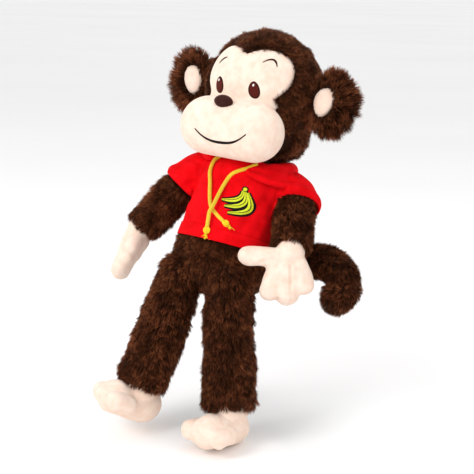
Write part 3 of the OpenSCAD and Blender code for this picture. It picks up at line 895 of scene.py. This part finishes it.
for line, depth, width in [([(22, -41, 128.5), (38, -32, 130), (50, -14, 134), (50, 6, 138), (40, 26, 141),
                             (22, 44, 138)], 1.5, 2.2),
                           ([(-22, 42, 137), (-38, 24, 139), (-46, 4, 138)], 1.6, 2.6),
                           ([(-20, 52, 128), (0, 56, 118), (20, 53, 126)], 1.5, 4),
                           ([(-16, 52, 104), (0, 56, 112), (14, 54, 122)], 1.3, 4),
                           ([(0, 50, 158), (0, 58, 130), (0, 56, 100)], 0.9, 2)]:
    crease(hood, [onTorso(*p) for p in line], depth * mm, width * mm)
co = placesOf(hood)
moveTo(hood, co + normalsOf(hood) * (ripple(co, 0.03, 71) * 0.7 * mm)[:, None])
dress(hood, knit, "torso", "hood", slot="red_knit")
neckRow = [(31 * math.cos(math.radians(a)), 31 * math.sin(math.radians(a)), 137, 4.4) for a in range(195, 331,
                                                                                                     15)]
casing = makeRoll("neck_casing_cloth", [neckRow], 1.2, 4)
dress(casing, knit, "torso", "neck_casing", slot="red_knit")
eyeletSpec = {"ring": 2.7, "wire": 0.75}
rings = []
for side in sides:
    at, nextTo = (Vector(p) * mm for p in cords[side]["route"][:2])
    bpy.ops.object.select_all(action="DESELECT")
    bpy.ops.mesh.primitive_torus_add(location=at, major_radius=eyeletSpec["ring"] * mm,
                                     minor_radius=eyeletSpec["wire"] * mm, major_segments=40,
                                     minor_segments=12,
                                     rotation=(nextTo - at).to_track_quat("Z", "Y").to_euler())
    rings.append(bpy.context.object)
eyelets = joined(rings, "eyelet_rings")
smooth(eyelets)
dress(eyelets, knit, "torso", "cord_eyelets", slot="red_knit")
print("top ready")

# Embroidery: each shape is laid on the cloth along one direction and domed a little
threadSpec = {"front": -150, "ovalSunk": 0.35, "lineSunk": 0.3, "rim": 0.9, "eye": 1.35, "glint": 1.75,
              "mouth": 1.0, "edge": 0.8, "edgeStep": 0.02, "fruit": 1.5, "fruitLine": 1.85, "stemEdge": 0.9,
              "stem": 1.7}
threadWidths = {"brow": [0.3, 0.85, 0.95, 0.85, 0.3], "mouth": [0.5, 1.2, 1.5, 1.2, 0.5],
                "edge": [2.9, 4.6, 5.0, 4.6, 2.4], "fruit": [1.1, 2.4, 2.8, 2.4, 0.8],
                "fruitLine": [0.1, 0.4, 0.45, 0.4, 0.1]}


def layOn(onto, place, x, z):
    start, goal = place(x, threadSpec["front"], z), place(x, 0, z)
    hit, at, normal, _ = onto.ray_cast(start, (goal - start).normalized())
    return (at, normal) if hit else (goal, (start - goal).normalized())


def stitchPiece(name, verts, faces, mat, body, slot):
    mesh = bpy.data.meshes.new(name)
    mesh.from_pydata([tuple(v) for v in verts], [], faces)
    ob = bpy.data.objects.new(name, mesh)
    bpy.context.collection.objects.link(ob)
    only(ob)
    bpy.ops.object.mode_set(mode="EDIT")
    bpy.ops.mesh.select_all(action="SELECT")
    bpy.ops.mesh.normals_make_consistent(inside=False)
    bpy.ops.object.mode_set(mode="OBJECT")
    smooth(ob)
    return dress(ob, mat, body, slot=slot)


def stitchOval(name, spec, onto, place, height, mat, body, slot, rings=7, around=36):
    verts, faces = [], []
    for ring in range(rings + 1):
        share = 1 - ring / rings
        for k in range(around if ring < rings else 1):
            angle = 2 * math.pi * k / around
            up = math.sin(angle) * share
            x = (spec["x"] + math.cos(angle) * share * spec["wide"] * (1 - spec.get("egg", 0) * up)
                 + up * spec.get("lean", 0))
            at, normal = layOn(onto, place, x, spec["z"] + up * spec["high"])
            verts.append(at + normal * (height * (1 - share ** 4) ** 0.5 - threadSpec["ovalSunk"]) * mm)
    for ring in range(rings):
        for k in range(around):
            a, b = ring * around + k, ring * around + (k + 1) % around
            if ring < rings - 1:
                faces.append((a, b, b + around, a + around))
            else:
                faces.append((a, b, rings * around))
    return stitchPiece(name, verts, faces, mat, body, slot)


def stitchLine(name, line, widths, onto, place, height, mat, body, slot, steps=6, across=8):
    route = [p / mm for p in roundedRoute([(x, 0, z) for x, z in line], steps)]
    stops = np.linspace(0, 1, len(widths))
    verts, faces = [], []
    for k, p in enumerate(route):
        way = (route[min(k + 1, len(route) - 1)] - route[max(k - 1, 0)]).normalized()
        half = float(np.interp(k / (len(route) - 1), stops, widths))
        for j in range(across + 1):
            t = 2 * j / across - 1
            at, normal = layOn(onto, place, p.x - way.z * half * t, p.z + way.x * half * t)
            verts.append(at + normal * (height * (1 - t ** 4) ** 0.5 - threadSpec["lineSunk"]) * mm)
    for k in range(len(route) - 1):
        for j in range(across):
            a = k * (across + 1) + j
            faces.append((a, a + 1, a + across + 2, a + across + 1))
    return stitchPiece(name, verts, faces, mat, body, slot)


def arcLine(spec, count=11):  # a stitched arc from its middle, half width, rise, fullness and tilt
    tilt = math.radians(spec["tilt"])
    line = []
    for t in np.linspace(-1, 1, count):
        along, up = t * spec["half"], spec["rise"] * (1 - abs(t) ** spec["full"])
        line.append((spec["x"] + along * math.cos(tilt) - up * math.sin(tilt),
                     spec["z"] + along * math.sin(tilt) + up * math.cos(tilt)))
    return line


eyeSpec = {"middle": -1, "apart": 41, "z": -1, "lean": -1.5, "wide": 6.3, "high": 9.2, "egg": 0.14}
fillSpec = {"wide": 5.0, "high": 7.9}
glintSpec = {"aside": 1.2, "up": 4.5, "wide": 1.25, "high": 1.9}
browSpec = {"left": {"x": 27, "z": 26, "half": 6.8, "rise": 5.5, "full": 2, "tilt": -10},
            "right": {"x": -26, "z": 24, "half": 5.8, "rise": 1.5, "full": 2, "tilt": 39}}
mouthSpec = {"x": 4.5, "z": -46, "half": 29.5, "rise": -11, "full": 2.6, "tilt": 3}
noseSpec = {"x": -3.5, "z": -18.5, "wide": 10.5, "deep": 6.5, "high": 7, "narrow": 0.28, "proud": 1.8}
for side, sign in sides.items():
    oval = eyeSpec | {"x": eyeSpec["middle"] + sign * eyeSpec["apart"] / 2}
    rim = stitchOval("eye_rim_" + side, oval, face, onHead, threadSpec["rim"], rimThread, "head",
                     "dark_thread")
    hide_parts("eye_" + side)
    stitchOval("eye_fill_" + side, oval | fillSpec, face, onHead, threadSpec["eye"], eyeThread, "head",
               "dark_thread")
    glint = oval | {"x": oval["x"] - glintSpec["aside"], "z": oval["z"] + glintSpec["up"],
                    "wide": glintSpec["wide"], "high": glintSpec["high"], "lean": 0}
    stitchOval("eye_light_" + side, glint, face, onHead, threadSpec["glint"], whiteThread, "head", None,
               rings=3, around=16)
    brow = stitchLine("brow_thread_" + side, arcLine(browSpec[side]), threadWidths["brow"], face, onHead,
                      threadSpec["rim"], rimThread, "head", "dark_thread")
    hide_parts("brow_" + side)
mouth = stitchLine("mouth_thread", arcLine(mouthSpec), threadWidths["mouth"], face, onHead,
                   threadSpec["mouth"], blackThread, "head", "black_thread")
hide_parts("mouth_stitch")
noseAt, noseUp = layOn(face, onHead, noseSpec["x"], noseSpec["z"])
middle = noseAt + noseUp * noseSpec["proud"] * mm
bpy.ops.object.select_all(action="DESELECT")
bpy.ops.mesh.primitive_uv_sphere_add(radius=1, location=middle, segments=48, ring_count=32,
                                     rotation=headPlace.to_euler())
nose = bpy.context.object
nose.name = "nose_cloth"
nose.scale = (noseSpec["wide"] * mm, noseSpec["deep"] * mm, noseSpec["high"] * mm)
settle(nose)
at = inHead(placesOf(nose)) - inHead(np.array(middle)[None])
at[:, 0] *= 1 - noseSpec["narrow"] * np.clip(-at[:, 2] / noseSpec["high"], 0, 1) ** 1.3
moveTo(nose, np.array(middle) + (at @ np.array(headPlace.to_3x3()).T) * mm)
smooth(nose)
dress(nose, noseThread, "head", "nose", slot="dark_thread")
patchSpec = {"stem": (19, 106), "elbow": (23.5, 93), "tip": (1.5, 92.5), "stemStep": (2.5, -0.5),
             "elbowStep": (8, -4.5), "tipStep": (5.5, -6)}
stemSpec = {"aside": 1.5, "up": 2, "edge": 3.7, "fill": 2.3}


def fingerLine(k, count=7):  # one fruit of the bunch, a curve from the stem round its elbow to its tip
    ends = []
    for word in ("stem", "elbow", "tip"):
        ends.append(np.array(patchSpec[word], float) + k * np.array(patchSpec[word + "Step"], float))
    return [tuple(ends[0] * (1 - t) ** 2 + ends[1] * 2 * t * (1 - t) + ends[2] * t ** 2)
            for t in np.linspace(0, 1, count)]


for k in range(3):
    line = fingerLine(k)
    edge = stitchLine(f"patch_edge_{k}", line, threadWidths["edge"], shell, onTorso,
                      threadSpec["edge"] + threadSpec["edgeStep"] * k, blackThread, "torso", "black_thread")
    stitchLine(f"patch_finger_{k}", line, threadWidths["fruit"], shell, onTorso, threadSpec["fruit"],
               limeThread, "torso", "banana_thread")
    stitchLine(f"patch_line_{k}", line, threadWidths["fruitLine"], shell, onTorso, threadSpec["fruitLine"],
               blackThread, "torso", "black_thread")
    if k == 0:
        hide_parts("patch_backing", "patch_bananas")
stem = {"x": patchSpec["stem"][0] + stemSpec["aside"], "z": patchSpec["stem"][1] + stemSpec["up"],
        "wide": stemSpec["edge"], "high": stemSpec["edge"]}
stitchOval("patch_stem_edge", stem, shell, onTorso, threadSpec["stemEdge"], blackThread, "torso",
           "black_thread", rings=4, around=24)
stitchOval("patch_stem", stem | {"wide": stemSpec["fill"], "high": stemSpec["fill"]}, shell, onTorso,
           threadSpec["stem"], limeThread, "torso", "banana_thread", rings=4, around=24)
print("embroidery ready")

# Ears
earPile = {"perSquareCm": 160, "length": 13.5, "lift": 0.6, "stray": 0.2, "swirl": 0.2, "tuft": 20,
           "gather": 0.55, "thick": 0.66, "seed": 9}
earSpec = {"left": {"size": 0.9, "shift": (-2.5, 0, 1.5), "lining": (-5.5, 0.5)},
           "right": {"size": 0.86, "shift": (-6, 0, 2), "lining": (5.0, 0.5)}}
for side, sign in sides.items():
    spec = earSpec[side]
    ear = solidCopy("ear_root_" + side, ["ear_" + side], 1.8 * mm, 4)
    middle = np.array([sign * 83, -2, -5 if sign > 0 else -3], float)
    at = (inHead(placesOf(ear)) - middle) * spec["size"] + middle + np.array(spec["shift"], float)
    moveTo(ear, headMiddle + (at @ np.array(headPlace.to_3x3()).T) * mm)
    middle = middle + np.array(spec["shift"], float)
    bridge = [addBall(onHead(sign * 54, 2, middle[2] + up), 9) for up in (-9, 9)]
    bridge += [addBall(onHead(middle[0] - sign * 12, middle[1] + 1, middle[2] + up), 5) for up in (-12, 12)]
    ear = joined([ear, hullOf(bridge, "ear bridge")], "ear_cloth_" + side)
    applied(ear, "REMESH", mode="VOXEL", voxel_size=1.8 * mm)
    applied(ear, "SMOOTH", factor=0.5, iterations=3)
    smooth(ear)
    dress(ear, backing, "head", "ear_" + side, "ear_lining_" + side, slot="brown_fur")
    lining = {"x": middle[0] + spec["lining"][0], "z": middle[2] + spec["lining"][1], "wide": 11.5,
              "high": 16, "egg": -0.22, "lean": sign * 2.5}

    def earPlaces(co):
        at = inHead(co) - middle
        turned = math.radians(sign * 8)
        x = at[:, 0] * math.cos(turned) + at[:, 1] * math.sin(turned)
        y = -at[:, 0] * math.sin(turned) + at[:, 1] * math.cos(turned)
        return np.stack([x, y, at[:, 2]], axis=1)

    def offLining(co, up):
        at = inHead(co)
        inside = ((at[:, 0] - lining["x"]) / 9) ** 2 + ((at[:, 2] - lining["z"]) / 13.5) ** 2 < 1
        return (~(inside & (at[:, 1] < middle[1]))).astype(float)

    def outward(co, up):
        at = earPlaces(co)
        way = np.stack([at[:, 0] + sign * 10, at[:, 1] * 0.5, at[:, 2]], axis=1)
        return unit(way) @ np.array(headPlace.to_3x3()).T

    growPile("ear_pile_" + side, ear, earPile, offLining, outward, "head")
    stitchOval("ear_velour_" + side, lining, ear, onHead, 3.4, velour, "head", "cream_velour", 9, 44)
print("ears ready")

# Hands and feet: puffed cloth, with sewn lines between the fingers
def closeGaps(ob, out, back,
              voxel):  # fills the narrow gaps between fingers and leaves the outline a little fuller
    moveTo(ob, placesOf(ob) + normalsOf(ob) * out * mm)
    applied(ob, "REMESH", mode="VOXEL", voxel_size=voxel * mm)
    keepLargest(ob)
    applied(ob, "SMOOTH", factor=0.5, iterations=3)
    moveTo(ob, placesOf(ob) - normalsOf(ob) * back * mm)
    applied(ob, "SMOOTH", factor=0.5, iterations=2)
    smooth(ob)


# Sewn lines of a hand, in millimetres from its wrist: both ends, how deep and how wide
sewn = {
    "left": [((-6, -19, -12), (-5, -18, -48), 2.6, 1.7), ((7, -15, -12), (8, -16, -48), 2.6, 1.7),
             ((-22, -23, -11), (-8, -20, -5), 1.6, 1.8),
             ((-6, -4, -12), (-5, -3, -48), 2.0, 1.8), ((7, 0, -12), (8, 0, -48), 2.0, 1.8)],
    "right": [((-3, -16, 6), (-21, -19, -42), 1.8, 1.8), ((1, -2, -15), (-5, 3, -45), 1.5, 1.8)],
}
for side in sides:
    hand = solidCopy("hand_cloth_" + side, ["hand_" + side, "hand_stuffing_" + side], 1.4 * mm, 2)
    closeGaps(hand, 3.0, 1.5, 1.3)
    co = placesOf(hand)
    moveTo(hand, co + normalsOf(hand) * (0.7 * ripple(co, 0.02, 81) * mm)[:, None])
    for start, end, depth, width in sewn[side]:
        crease(hand, [wrists[side] + Vector(start) * mm, wrists[side] + Vector(end) * mm], depth * mm,
               width * mm)
    dress(hand, velour, "hand_" + side, "hand_" + side, slot="cream_velour")
    foot = solidCopy("foot_cloth_" + side, ["foot_" + side, "foot_stuffing_" + side], 1.5 * mm, 3)
    moveTo(foot, placesOf(foot) + normalsOf(foot) * 1.3 * mm)
    co = placesOf(foot)
    moveTo(foot, co + normalsOf(foot) * (0.7 * ripple(co, 0.022, 91) * mm)[:, None])
    dress(foot, velour, "foot_" + side, "foot_" + side, slot="cream_velour")
print("hands and feet ready")

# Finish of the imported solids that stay
finishes = {"stuffing": stuffing, "pellet": pelletCloth}
for name, ob in nodes.items():
    for word, mat in finishes.items():
        if word in name:
            for slotOf in ob.material_slots:
                slotOf.link = "OBJECT"
                slotOf.material = mat
            break
if "neck_stuffing" in nodes:
    for slotOf in nodes["neck_stuffing"].material_slots:
        slotOf.material = backing

# Floor and lights
floorSpec = {"size": 80, "height": -136.5}
bpy.ops.object.select_all(action="DESELECT")
bpy.ops.mesh.primitive_plane_add(size=floorSpec["size"], location=(0, 0, floorSpec["height"] * mm))
ground = bpy.context.object
ground.name = "floor"
settle(ground)
ground.data.materials.append(clothMaterial("pale floor", (0.93, 0.93, 0.93), (0.97, 0.97, 0.97), 3, 0.5, 0.0,
                                           0.001, 0.9, 0.0, (1, 1, 1, 1)))
world = bpy.data.worlds.new("studio")
bpy.context.scene.world = world
world.use_nodes = True
world.node_tree.nodes["Background"].inputs["Color"].default_value = (1, 1, 1, 1)
world.node_tree.nodes["Background"].inputs["Strength"].default_value = 0.92
lamps = {
    "key": {"at": (-0.55, -1.3, 1.0), "size": 0.7, "power": 11},
    "fill": {"at": (1.3, -0.9, 0.6), "size": 1.2, "power": 2},
    "top": {"at": (0.1, 0.4, 1.5), "size": 1.0, "power": 5},
}
for name, lamp in lamps.items():
    bpy.ops.object.light_add(type="AREA", location=lamp["at"])
    light = bpy.context.object
    light.name = name
    light.data.size = lamp["size"]
    light.data.energy = lamp["power"]
    light.rotation_euler = (Vector((0.03, 0.0,
                                    0.08)) - Vector(lamp["at"])).to_track_quat("-Z", "Y").to_euler()
print("light ready")
